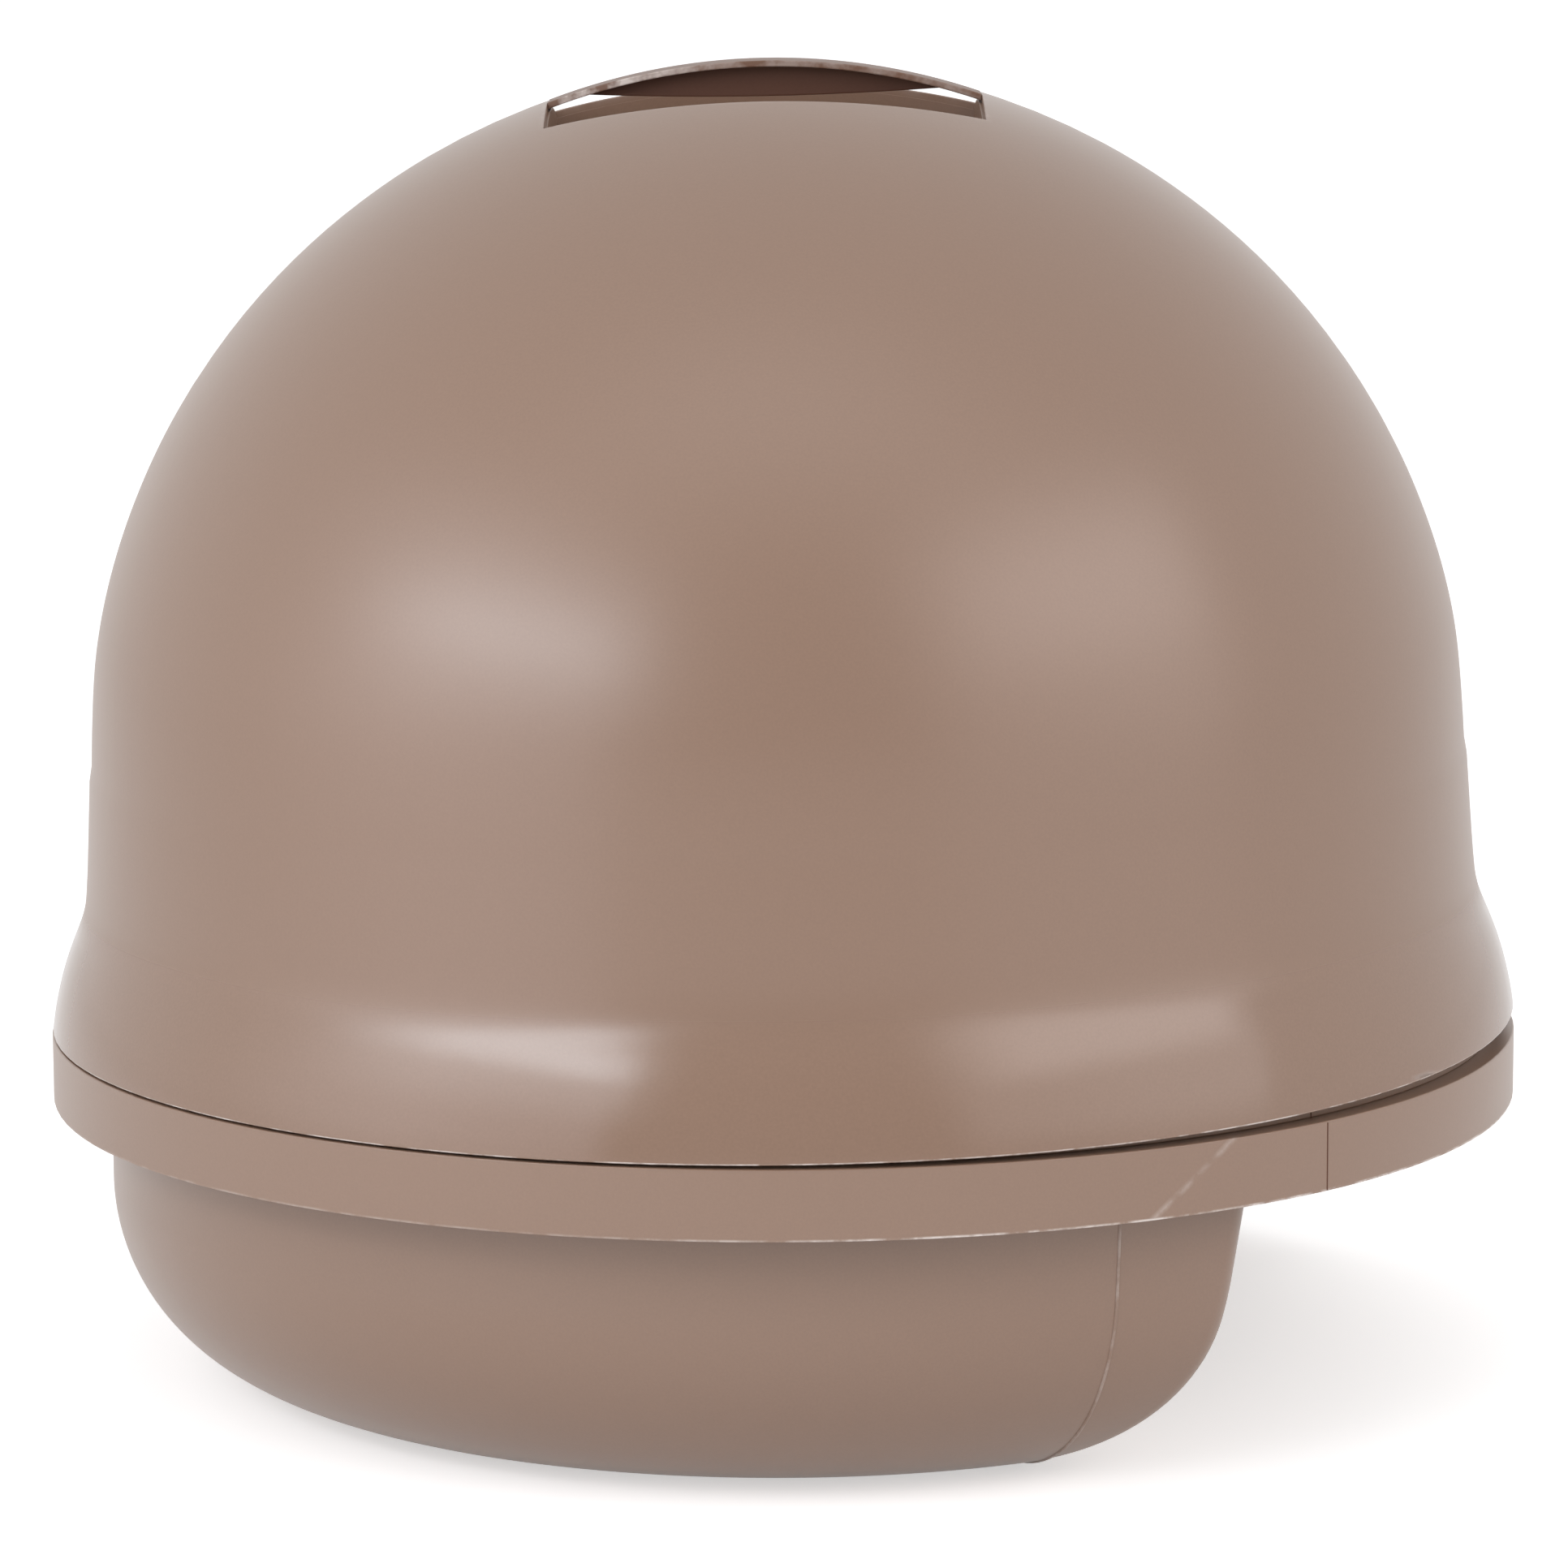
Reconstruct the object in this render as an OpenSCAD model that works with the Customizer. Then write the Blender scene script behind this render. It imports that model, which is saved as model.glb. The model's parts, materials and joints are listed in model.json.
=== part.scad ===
// Domed litter box: a round hood with a carry handle and an odour filter stands on a round
// base whose bowl is cut away on one side for a stepped entry tray.
// Origin: middle of the footprint, on the floor. +Z up, the doorway faces -Y and -X.

/* [Base] */
// Outer diameter of the base's rim
rim_d = 560; // [520:1:600]
// Height of the skirt's lower edge above the floor
skirt_z = 107; // [100:0.5:125]
// Height of the skirt band
skirt_h = 25.5; // [22:0.5:32]
// Wall thickness of the base
base_wall = 3; // [2.5:0.1:4]
// How far the rim stands out past the bowl
rim_overhang = 22; // [19:0.5:26]
// Radius of the bend from the bowl's wall to its floor
bowl_bend_r = 76; // [50:1:85]
// Thickness of each rib under the rim
rim_rib_t = 2.4; // [1.6:0.1:4]
// Number of ribs under the rim
rim_rib_count = 9; // [5:1:13]

/* [Seating lip] */
// Distance from the rim's outer edge in to the lip's outer face
lip_inset = 8; // [7:0.5:10]
// Height of the lip above the rim
lip_h = 12; // [8:0.5:14]
// Thickness of the lip
lip_t = 2.5; // [2:0.1:3.5]

/* [Cut-away of the bowl] */
// Direction that the bowl's flat side faces, in degrees from +X
cut_az = 202; // [200:1:204]
// Distance from the middle to the flat side at the rim
cut_d = 87; // [80:1:95]
// Lean of the flat side, in degrees
cut_lean = 12; // [6:0.5:16]
// Radius of the two corners in plan
nose_r = 12; // [8:1:20]

/* [Entry tray] */
// Thickness of the tray
tray_wall = 2.6; // [2:0.1:3.2]
// Gap between the tray and the bowl
tray_gap = 2.5; // [1.5:0.1:4]
// How far the tray's rim laps over the base
tray_lap = 6; // [4:0.5:6.5]
// Height of the entry step above the floor
entry_z = 45; // [40:1:50]
// Rise from each tread to the next
step_rise = 25; // [23:0.5:26]
// Run of each tread
step_run = 45; // [38:1:50]
// Run of the top landing
landing_run = 133; // [100:1:140]
// Depth of the entry step's front nose
sill_drop = 12; // [8:1:16]
// Height of the grip ribs
grip_h = 1.8; // [1:0.1:3]
// Width of each grip rib
grip_w = 4; // [3:0.5:6]
// Spacing of the grip ribs
grip_pitch = 15; // [12:0.5:22]
// Diameter of each foot under the entry step
foot_d = 28; // [20:1:34]
// Distance from the tray's outer wall in to each foot's middle
foot_inset = 25; // [20:1:30]
// Turn of each foot from the middle of the doorway, in degrees
foot_turn = 12; // [10:1:15]

/* [Hood] */
// Wall thickness of the hood
hood_wall = 3; // [2.2:0.1:3.4]
// How far the dome stands in from the rim's edge
dome_inset = 16.9; // [14:0.1:20]
// Height of the dome's centre above the hood's lower edge
dome_rise = 97.2; // [85:0.1:105]
// Height of the straight wall's top above the hood's lower edge
wall_top_h = 134.4; // [120:0.2:145]
// Lean of the straight wall, in degrees
wall_draft = 3; // [2:0.1:3.5]
// Height of the flare at the foot of the hood
flare_h = 43; // [38:0.5:50]
// Radius of the flare's curve
flare_r = 111; // [95:1:140]
// How far the hood's edge stands in from the rim's edge
hood_inset = 0.5; // [0.2:0.1:2]
// Gap under the hood's edge on the side where it sits home
seam_gap = 0.3; // [0.3:0.1:1]
// Tilt of the hood where one side sits proud of the base, in degrees
hood_tilt = 0.9; // [0:0.1:1.2]
// Thickness of the locating ribs inside the hood
locator_t = 2.4; // [1.6:0.1:4]
// Height of the locating ribs
locator_h = 14; // [8:0.5:20]
// Clearance between the locating ribs and the lip
locator_gap = 0.8; // [0.6:0.1:1.5]

/* [Doorway] */
// Direction that the doorway faces, in degrees from +X
door_az = 240; // [238:1:241]
// Width of the doorway
door_w = 238; // [220:1:242]
// Height of the doorway above the hood's lower edge
door_h = 245; // [220:1:260]
// Thickness of the doorway's return
door_return_t = 3; // [2:0.1:4]
// Depth of the doorway's return
door_return_d = 13; // [8:0.5:18]

/* [Handle] */
// Length of the hand opening
hand_l = 163; // [150:1:175]
// Width of the hand opening at its middle
hand_w = 148; // [140:1:154]
// Radius in plan of the opening's long edges
hand_bow_r = 218; // [200:1:300]
// Width of the handle strip
grip_strip_w = 24; // [20:0.5:30]
// Thickness of the handle strip
grip_strip_t = 2.4; // [2:0.1:2.8]
// Height of the handle strip's crown above the dome
grip_crown = 1.2; // [0.6:0.1:3]
// Thickness of the web under the strip
web_t = 2.4; // [2:0.1:4]
// Depth of the web below the strip at its middle
web_drop = 11.5; // [8:0.5:14]
// Radius of the web's lower edge
web_edge_r = 1200; // [900:50:2000]

/* [Pocket] */
// Depth of the pocket's floor below the dome's crown
pocket_depth = 45; // [40:1:60]
// Wall thickness of the pocket
pocket_wall = 2.5; // [2:0.1:3]
// Width of the ledge below the hand opening's edge
pocket_ledge = 1; // [0.6:0.1:1.5]
// Width of each vent slot
vent_w = 5; // [4:0.5:7]
// Spacing of the vent slots
vent_pitch = 13; // [11:0.5:18]

/* [Filter] */
// Length of the filter pad
pad_l = 128; // [110:1:130]
// Width of the filter pad
pad_w = 104; // [90:1:110]
// Thickness of the filter pad
pad_t = 9; // [6:0.5:12]
// Clearance round the filter pad
pad_gap = 4; // [3:0.5:5]
// Wall thickness of the filter frame
frame_wall = 2.4; // [2:0.1:3]
// Thickness of the filter door
door_plate_t = 2.2; // [2:0.1:3]
// Radius of the filter door's hinge pins
pin_r = 2; // [1.5:0.1:2.5]
// Radial running clearance of the hinge pins
pin_gap = 0.05; // [0.02:0.01:0.1]
// Clearance between the filter door and its frame
door_gap = 0.6; // [0.4:0.1:1]

/* [Hidden] */
$fn = 180;
shell_colour = [0.62, 0.52, 0.46];
tray_colour = [0.60, 0.50, 0.44];
carbon_colour = [0.16, 0.16, 0.17];
// Sides to a full turn on the bowl, and steps down its bend
bowl_fn = 72;
bend_steps = 12;
// Thickness of each level that the bowl's hull joins, and how far it narrows inside the hull
level_t = 1;
level_taper = 0.5;
// Sides to a full turn on the web's long arcs
web_fn = 720;
// How far a cutter runs past the face it opens
past = 1;
// Clearance at each end of a piece that stands between two curved faces
end_gap = 0.2;

// Base
rim_r = rim_d / 2;
rim_z = skirt_z + skirt_h;
bowl_r = rim_r - rim_overhang;
lip_r = rim_r - lip_inset;
pan_top = rim_z - base_wall;
half_cut = acos((cut_d - nose_r) / (bowl_r - nose_r));
// Distance from the middle to the centre of the bend under the flat side
cut_bend_d = cut_d
    - (bowl_bend_r + (pan_top - bowl_bend_r) * sin(cut_lean)) / cos(cut_lean);
// Distance from the middle to the flat side at height z, drawn in by inset
function flat_d(z, inset) = cut_bend_d
    + (bowl_bend_r - inset + (z - bowl_bend_r) * sin(cut_lean)) / cos(cut_lean);
// How far the ribs under the rim stop short of the skirt's lower edge
rib_lift = 3;

// Entry tray, in the frame whose +X is the direction of the bowl's flat side
seat_gap = 0.4;
tray_play = 1.5;
tray_r = lip_r - lip_t - tray_lap - tray_play;
door_turn = door_az - cut_az;
door_half = asin(door_w / 2 / tray_r);
jamb_clear = 4;
// Least distance from the tray's walls to the grip ribs on its treads
grip_margin = tray_wall + 5;
tray_front = tray_r * sin(door_turn + door_half) + jamb_clear;
first_riser = tray_r * sin(door_turn - door_half) - jamb_clear;
step_count = 4;
tray_back = first_riser - (step_count - 1) * step_run - landing_run;
function tread_z(i) = entry_z + i * step_rise;
function tread_lo(i) = i == step_count ? tray_back : first_riser - i * step_run;
function tread_hi(i) = i == 0 ? tray_front : first_riser - (i - 1) * step_run;

// Hood, upright
edge_r = rim_r - hood_inset;
edge_z = rim_z + seam_gap;
dome_r = rim_r - dome_inset;
dome_z = edge_z + dome_rise;
crown_z = dome_z + dome_r;
wall_top_z = edge_z + wall_top_h;
function wall_r(z, out) =
    sqrt(pow(dome_r + out, 2) - pow(wall_top_z - dome_z, 2)) + (wall_top_z - z) * tan(wall_draft);
flare_foot = [edge_r, edge_z];
flare_head = [wall_r(edge_z + flare_h, 0), edge_z + flare_h];
flare_run = flare_head - flare_foot;
flare_out = [flare_run[1], -flare_run[0]] / norm(flare_run);
flare_c = (flare_foot + flare_head) / 2
    - flare_out * sqrt(pow(flare_r, 2) - pow(norm(flare_run) / 2, 2));
spring_z = edge_z + door_h - door_w / 2;

// Handle: the strip's arc runs through the dome's surface at both ends of the hand opening
strip_end_z = dome_z + sqrt(pow(dome_r, 2) - pow(hand_l / 2, 2));
strip_rise = crown_z + grip_crown - strip_end_z;
strip_r = (pow(hand_l / 2, 2) + pow(strip_rise, 2)) / (2 * strip_rise);
strip_c = crown_z + grip_crown - strip_r;
web_z = crown_z + grip_crown - grip_strip_t - web_drop;

// Pocket and filter, from the vent floor down
floor_z = crown_z - pocket_depth;
floor_under = floor_z - pocket_wall;
// Gap between pieces that rest on each other
rest_gap = 0.3;
// Room between the pad and the vent floor
pad_room = 0.5;
pad_z = floor_under - pad_room - pad_t;
plate_z = pad_z - rest_gap - door_plate_t;
frame_z = plate_z + door_plate_t + door_gap;
frame_x = pad_l / 2 + pad_gap;
frame_y = pad_w / 2 + pad_gap;
vent_count = floor((pad_l - vent_w) / vent_pitch);
// Hinge of the filter door: ears on the frame, knuckles on the door
lug_t = 4;
lug_wall = 2.6;
lug_r = pin_r + lug_wall;
knuckle_r = pin_r + 1.6;
knuckle_w = 6;
pin_x = frame_x + frame_wall + lug_r + end_gap;
pin_z = plate_z + door_plate_t / 2;
// How far each pin reaches past its ear
pin_tip = 1;
lug_y = frame_y - lug_t / 2 - pin_tip;
plate_x = pin_x - lug_r - door_gap;
// Nub that the filter door's tab clicks past: width, height and how far it stands out
catch_w = 26;
catch_h = 3;
catch_out = 1.5;
catch_z = frame_z + 2;
// Tab on the filter door: width, how far it reaches out and thickness
tab_w = 20;
tab_out = 14;
tab_t = 2;

// ---- Shapes -------------------------------------------------------------------------------

// Stands the hood's pieces on the base: turned about the edge that sits home
module seat_hood() {
    translate([edge_r, 0, edge_z]) rotate([0, hood_tilt, 0]) translate([-edge_r, 0, -edge_z])
        children();
}

// Plan of a disc of radius r with a flat side at distance flat and two round corners
module cut_disc(r, flat, corner) {
    half = acos((flat - corner) / (r - corner));
    nose = (r - corner) * [cos(half), sin(half)];
    far = 3 * rim_r;
    difference() {
        circle(r = r);
        polygon([
            [0, 0], far * [cos(half), sin(half)], [far, far], [far, -far],
            far * [cos(half), -sin(half)]
        ]);
    }
    for (side = [-1, 1]) translate([nose[0], side * nose[1]]) circle(r = corner);
    translate([nose[0], -nose[1]]) square([corner, 2 * nose[1]]);
    if (nose[0] > 0) polygon([[0, 0], nose, [nose[0], -nose[1]]]);
}

// Solid of the bowl drawn in by inset, up to top; it is convex, so a hull joins its levels
module bowl_solid(inset, top) {
    bend = bowl_bend_r - inset;
    hull() {
        for (i = [0 : bend_steps]) {
            lean = 90 * i / bend_steps;
            z = bowl_bend_r - bend * sin(lean);
            flat = lean < cut_lean ? flat_d(z, inset) : cut_bend_d + bend * cos(lean);
            translate([0, 0, z]) bowl_level(bowl_r - bowl_bend_r + bend * cos(lean), flat, inset);
        }
        translate([0, 0, top]) mirror([0, 0, 1])
            bowl_level(bowl_r - inset, flat_d(top, inset), inset);
    }
}

module bowl_level(r, flat, inset) {
    linear_extrude(level_t, scale = level_taper) cut_disc(r, flat, nose_r - inset, $fn = bowl_fn);
}

// Plan of the bowl at the rim, grown by out
module bowl_plan(out) {
    cut_disc(bowl_r + out, cut_d + out, nose_r + out);
}

// Plan of the entry tray's well, grown by out
module tray_plan(out) {
    intersection() {
        difference() {
            circle(r = tray_r + out);
            bowl_plan(tray_gap - out);
        }
        band(tray_back - out, tray_front + out);
    }
}

// Everything on the tray's side of the bowl between two lines across the way in
module band(lo, hi) {
    translate([0, lo]) square([2 * rim_r, hi - lo]);
}

// Upright slab as wide as the doorway grown by out, in the cut-away's frame
module door_slab(out, z0, z1) {
    rotate([0, 0, door_turn]) translate([0, -door_w / 2 - out, z0])
        cube([2 * rim_r, door_w + 2 * out, z1 - z0]);
}

module ring(r_in, r_out, z0, z1) {
    translate([0, 0, z0]) linear_extrude(z1 - z0) difference() {
        circle(r = r_out);
        circle(r = r_in);
    }
}

// Half section of the hood's outer surface, grown by out and run down below its edge
module hood_section(out, below) {
    z0 = edge_z - below;
    intersection() {
        translate([0, z0]) square(2 * rim_r);
        union() {
            intersection() {
                translate([0, dome_z]) circle(r = dome_r + out);
                wall_cone_section(z0, crown_z, out);
                translate([0, dome_z]) square(2 * rim_r);
            }
            wall_cone_section(z0, dome_z + past, out);
            translate(flare_c) circle(r = flare_r + out);
        }
    }
}

module wall_cone_section(z0, z1, out) {
    polygon([[0, z0], [wall_r(z0, out), z0], [wall_r(z1, out), z1], [0, z1]]);
}

// Arch of the doorway, grown by out, as a prism that runs out from the middle
module door_prism(out) {
    foot = edge_z - 10 * past;
    rotate([0, 0, door_az]) rotate([90, 0, 90]) linear_extrude(2 * rim_r) {
        translate([-door_w / 2 - out, foot]) square([door_w + 2 * out, spring_z - foot]);
        translate([0, spring_z]) circle(r = door_w / 2 + out);
    }
}

// Plan of the hand opening, grown by out
module hand_plan(out) {
    intersection() {
        square([hand_l + 2 * out, hand_w + 2 * out], center = true);
        translate([0, hand_w / 2 - hand_bow_r]) circle(r = hand_bow_r + out);
        translate([0, hand_bow_r - hand_w / 2]) circle(r = hand_bow_r + out);
    }
}

// Row of round-ended slots through the vent floor and the filter door
module vent_slots() {
    run = pad_w - 4 * vent_w;
    for (i = [0 : vent_count - 1]) translate([(i - (vent_count - 1) / 2) * vent_pitch, 0]) {
        square([vent_w, run], center = true);
        for (side = [-1, 1]) translate([0, side * run / 2]) circle(d = vent_w);
    }
}

// ---- Base ---------------------------------------------------------------------------------

module litter_pan() {
    color(shell_colour) rotate([0, 0, cut_az]) difference() {
        bowl_solid(0, pan_top);
        bowl_solid(base_wall, pan_top + past);
    }
}

module rim_skirt() {
    gap = tray_wall + seat_gap;
    color(shell_colour) rotate([0, 0, cut_az]) difference() {
        union() {
            translate([0, 0, pan_top]) linear_extrude(base_wall) difference() {
                circle(r = rim_r);
                bowl_plan(-base_wall);
                tray_plan(seat_gap);
            }
            ring(rim_r - base_wall, rim_r, skirt_z, pan_top);
        }
        door_slab(gap, skirt_z - past, rim_z + past);
    }
}

module rim_ribs() {
    span = 360 - 2 * half_cut;
    color(shell_colour) rotate([0, 0, cut_az + half_cut])
        for (i = [0 : rim_rib_count - 1]) rotate([0, 0, span * (i + 0.5) / rim_rib_count])
            translate([bowl_r + end_gap, -rim_rib_t / 2, skirt_z + rib_lift])
                cube([
                    rim_overhang - base_wall - 2 * end_gap, rim_rib_t,
                    skirt_h - base_wall - rib_lift
                ]);
}

module seating_lip() {
    color(shell_colour) rotate([0, 0, cut_az]) difference() {
        ring(lip_r - lip_t, lip_r, rim_z, rim_z + lip_h);
        door_slab(tray_wall + seat_gap, rim_z - past, rim_z + lip_h + past);
    }
}

module entry_tray() {
    top = tread_z(step_count) + past;
    color(tray_colour) rotate([0, 0, cut_az]) difference() {
        union() {
            for (i = [0 : step_count - 1]) tray_column(i, tread_z(i) - tray_wall, rim_z);
            tray_column(step_count, rim_z, tread_z(step_count));
            translate([0, 0, rim_z]) linear_extrude(tray_wall) tray_plan(tray_lap);
            sill_block();
        }
        for (i = [0 : step_count - 1])
            tray_space(tread_lo(i), tread_hi(i) + past, tread_z(i), top);
        tray_space(
            tray_back, tread_hi(step_count) - tray_wall,
            rim_z - past, tread_z(step_count) - tray_wall
        );
        intersection() {
            door_slab(0, entry_z, top);
            ring(tray_r - 2 * tray_wall, 2 * rim_r, entry_z, top);
        }
    }
}

// Block over tread i between two heights, with the riser up to the next tread
module tray_column(i, z0, z1) {
    riser = i < step_count ? tray_wall : 0;
    translate([0, 0, z0]) linear_extrude(z1 - z0) intersection() {
        tray_plan(0);
        band(tread_lo(i) - riser, tread_hi(i));
    }
}

// Space inside the tray's walls between two heights and two lines across the way in
module tray_space(lo, hi, z0, z1) {
    translate([0, 0, z0]) linear_extrude(z1 - z0) intersection() {
        tray_plan(-tray_wall);
        band(lo, hi);
    }
}

// Block in front of the well that the way in is cut from: it leaves the entry step, its nose
// and a cheek on each side
module sill_block() {
    intersection() {
        union() {
            ring(tray_r - tray_wall / 2, rim_r, entry_z - tray_wall, rim_z);
            ring(rim_r - tray_wall, rim_r, entry_z - sill_drop, entry_z);
        }
        door_slab(tray_wall, entry_z - sill_drop - past, rim_z + past);
    }
}

module grip_ribs() {
    color(tray_colour) rotate([0, 0, cut_az]) for (i = [0 : step_count]) {
        run = tread_hi(i) - tread_lo(i);
        count = floor((run - grip_margin) / grip_pitch);
        for (j = [0 : count - 1]) {
            y = tread_lo(i) + run / 2 + (j - (count - 1) / 2) * grip_pitch;
            translate([0, 0, tread_z(i)]) linear_extrude(grip_h) intersection() {
                tray_plan(-grip_margin);
                band(y - grip_w / 2, y + grip_w / 2);
            }
        }
    }
}

// Hollow feet that carry the entry step when the pet treads on it
module tray_feet() {
    color(tray_colour) for (side = [-1, 1]) rotate([0, 0, door_az + side * foot_turn])
        translate([tray_r - foot_inset, 0, 0]) linear_extrude(entry_z - tray_wall) difference() {
            circle(d = foot_d);
            circle(d = foot_d - 2 * tray_wall);
        }
}

// ---- Hood ---------------------------------------------------------------------------------

module hood_shell() {
    color(shell_colour) seat_hood() difference() {
        rotate_extrude() difference() {
            hood_section(0, 0);
            hood_section(-hood_wall, past);
        }
        door_prism(0);
        translate([0, 0, floor_z]) linear_extrude(2 * pocket_depth) hand_plan(0);
    }
}

module doorway_return() {
    color(shell_colour) seat_hood() intersection() {
        rotate_extrude() difference() {
            hood_section(0, 0);
            hood_section(-door_return_d, past);
        }
        difference() {
            door_prism(0);
            door_prism(-door_return_t);
        }
    }
}

module locating_ribs() {
    color(shell_colour) seat_hood() intersection() {
        for (turn = [60 : 40 : 300]) rotate([0, 0, door_az + turn])
            translate([lip_r + locator_gap, -locator_t / 2, edge_z + past])
                cube([lip_inset, locator_t, locator_h]);
        rotate_extrude() hood_section(-hood_wall, 0);
    }
}

module handle_strip() {
    color(shell_colour) seat_hood() rotate([90, 0, 0])
        linear_extrude(grip_strip_w, center = true) intersection() {
            translate([0, strip_c]) difference() {
                circle(r = strip_r);
                circle(r = strip_r - grip_strip_t);
            }
            translate([-hand_l / 2, crown_z - pocket_depth]) square([hand_l, 2 * pocket_depth]);
        }
}

module handle_web() {
    color(shell_colour) seat_hood() rotate([90, 0, 0])
        linear_extrude(web_t, center = true) intersection() {
            translate([0, strip_c]) circle(r = strip_r - grip_strip_t, $fn = web_fn);
            translate([0, web_z + web_edge_r]) circle(r = web_edge_r, $fn = web_fn);
        }
}

module pocket_wall_ring() {
    difference() {
        hand_plan(pocket_wall - pocket_ledge);
        hand_plan(-pocket_ledge);
    }
}

module pocket_wall() {
    color(shell_colour) seat_hood() intersection() {
        translate([0, 0, floor_z]) linear_extrude(pocket_depth) pocket_wall_ring();
        translate([0, 0, dome_z]) sphere(r = dome_r - hood_wall);
    }
}

module vent_floor() {
    color(shell_colour) seat_hood() translate([0, 0, floor_under]) linear_extrude(pocket_wall)
        difference() {
            hand_plan(pocket_wall - pocket_ledge);
            vent_slots();
        }
}

module filter_frame() {
    color(shell_colour) seat_hood() translate([0, 0, frame_z])
        linear_extrude(floor_under - frame_z) difference() {
            square(2 * [frame_x + frame_wall, frame_y + frame_wall], center = true);
            square(2 * [frame_x, frame_y], center = true);
        }
}

// Ears outside the frame that carry the filter door's pins
module hinge_lugs() {
    face = frame_x + frame_wall;
    color(shell_colour) seat_hood() for (side = [-1, 1]) translate([0, side * lug_y, 0])
        rotate([90, 0, 0]) linear_extrude(lug_t, center = true) difference() {
            union() {
                translate([pin_x, pin_z]) circle(r = lug_r);
                translate([face, pin_z]) square([pin_x + lug_r - face, floor_under - pin_z]);
            }
            translate([pin_x, pin_z]) circle(r = pin_r + pin_gap);
        }
}

// Nub on the frame's free side that the pull tab clicks past
module filter_catch() {
    color(shell_colour) seat_hood()
        translate([-frame_x - frame_wall - catch_out, -catch_w / 2, catch_z])
            cube([catch_out, catch_w, catch_h]);
}

// ---- Filter door --------------------------------------------------------------------------

module filter_door() {
    far = frame_x + frame_wall;
    half_w = frame_y + frame_wall;
    knuckle_y = lug_y - lug_t / 2 - door_gap - knuckle_w / 2;
    color(tray_colour) seat_hood() {
        translate([0, 0, plate_z]) linear_extrude(door_plate_t) difference() {
            translate([-far, -half_w]) square([far + plate_x, 2 * half_w]);
            vent_slots();
        }
        for (side = [-1, 1]) translate([0, side * knuckle_y, 0]) rotate([90, 0, 0])
            linear_extrude(knuckle_w, center = true) {
                translate([pin_x, pin_z]) circle(r = knuckle_r);
                translate([plate_x - knuckle_w, plate_z])
                    square([pin_x - plate_x + knuckle_w, door_plate_t]);
            }
    }
}

module hinge_pins() {
    length = door_gap + lug_t + pin_tip;
    color(tray_colour) seat_hood() for (side = [-1, 1])
        translate([pin_x, side * (lug_y - lug_t / 2 - door_gap + length / 2), pin_z])
            rotate([90, 0, 0]) cylinder(r = pin_r, h = length, center = true);
}

// Tab on the door's free end: an upright that stands against the catch and a lip to pull
module pull_tab() {
    face = -frame_x - frame_wall;
    upright_x = face - catch_out - rest_gap - tab_t;
    upright_h = catch_z + catch_h + tab_t - plate_z;
    color(tray_colour) seat_hood() rotate([90, 0, 0]) linear_extrude(tab_w, center = true) {
        translate([face - tab_out, plate_z]) square([tab_out, door_plate_t]);
        translate([upright_x, plate_z]) square([tab_t, upright_h]);
    }
}

module filter_pad() {
    color(carbon_colour) seat_hood() translate([0, 0, pad_z + pad_t / 2])
        cube([pad_l, pad_w, pad_t], center = true);
}

// ---- Assembly -----------------------------------------------------------------------------

litter_pan();
rim_skirt();
rim_ribs();
seating_lip();
entry_tray();
grip_ribs();
tray_feet();
hood_shell();
doorway_return();
locating_ribs();
handle_strip();
handle_web();
pocket_wall();
vent_floor();
filter_frame();
hinge_lugs();
filter_catch();
filter_door();
hinge_pins();
pull_tab();
filter_pad();
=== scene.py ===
import json
import math

import bpy
from mathutils import Matrix, Vector

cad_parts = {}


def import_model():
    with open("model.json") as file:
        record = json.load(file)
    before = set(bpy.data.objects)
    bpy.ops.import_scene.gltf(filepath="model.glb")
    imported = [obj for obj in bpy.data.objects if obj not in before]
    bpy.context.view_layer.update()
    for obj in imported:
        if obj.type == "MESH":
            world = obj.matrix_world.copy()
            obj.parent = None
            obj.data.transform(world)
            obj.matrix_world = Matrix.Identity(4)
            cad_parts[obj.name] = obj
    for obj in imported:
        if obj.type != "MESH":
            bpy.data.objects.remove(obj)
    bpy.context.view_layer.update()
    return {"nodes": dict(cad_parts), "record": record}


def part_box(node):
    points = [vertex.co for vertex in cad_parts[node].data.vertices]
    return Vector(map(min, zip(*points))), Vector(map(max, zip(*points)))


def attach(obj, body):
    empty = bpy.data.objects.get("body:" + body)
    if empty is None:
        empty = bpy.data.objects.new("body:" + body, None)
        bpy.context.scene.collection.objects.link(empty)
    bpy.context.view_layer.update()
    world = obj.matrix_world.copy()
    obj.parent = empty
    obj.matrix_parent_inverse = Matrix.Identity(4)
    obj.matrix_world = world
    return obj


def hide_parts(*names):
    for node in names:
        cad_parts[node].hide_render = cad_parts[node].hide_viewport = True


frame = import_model()
nodes = frame["nodes"]

# ---- Sizes, in metres, in the part's frame -------------------------------------------------

rim_low, rim_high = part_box("rim_skirt")
RIM_R, RIM_Z, SKIRT_Z = rim_high.x, rim_high.z, rim_low.z
WALL = 0.003

# Bowl: a round pan with one flat side, which leans out between two small corners
BOWL_R, BEND_R = RIM_R - 0.022, 0.076
CUT_AZ, CUT_D, CUT_LEAN, NOSE_R = math.radians(202), 0.087, math.radians(12), 0.012
PAN_TOP = RIM_Z - WALL
CUT_BEND_D = CUT_D - (BEND_R + (PAN_TOP - BEND_R) * math.sin(CUT_LEAN)) / math.cos(CUT_LEAN)

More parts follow.
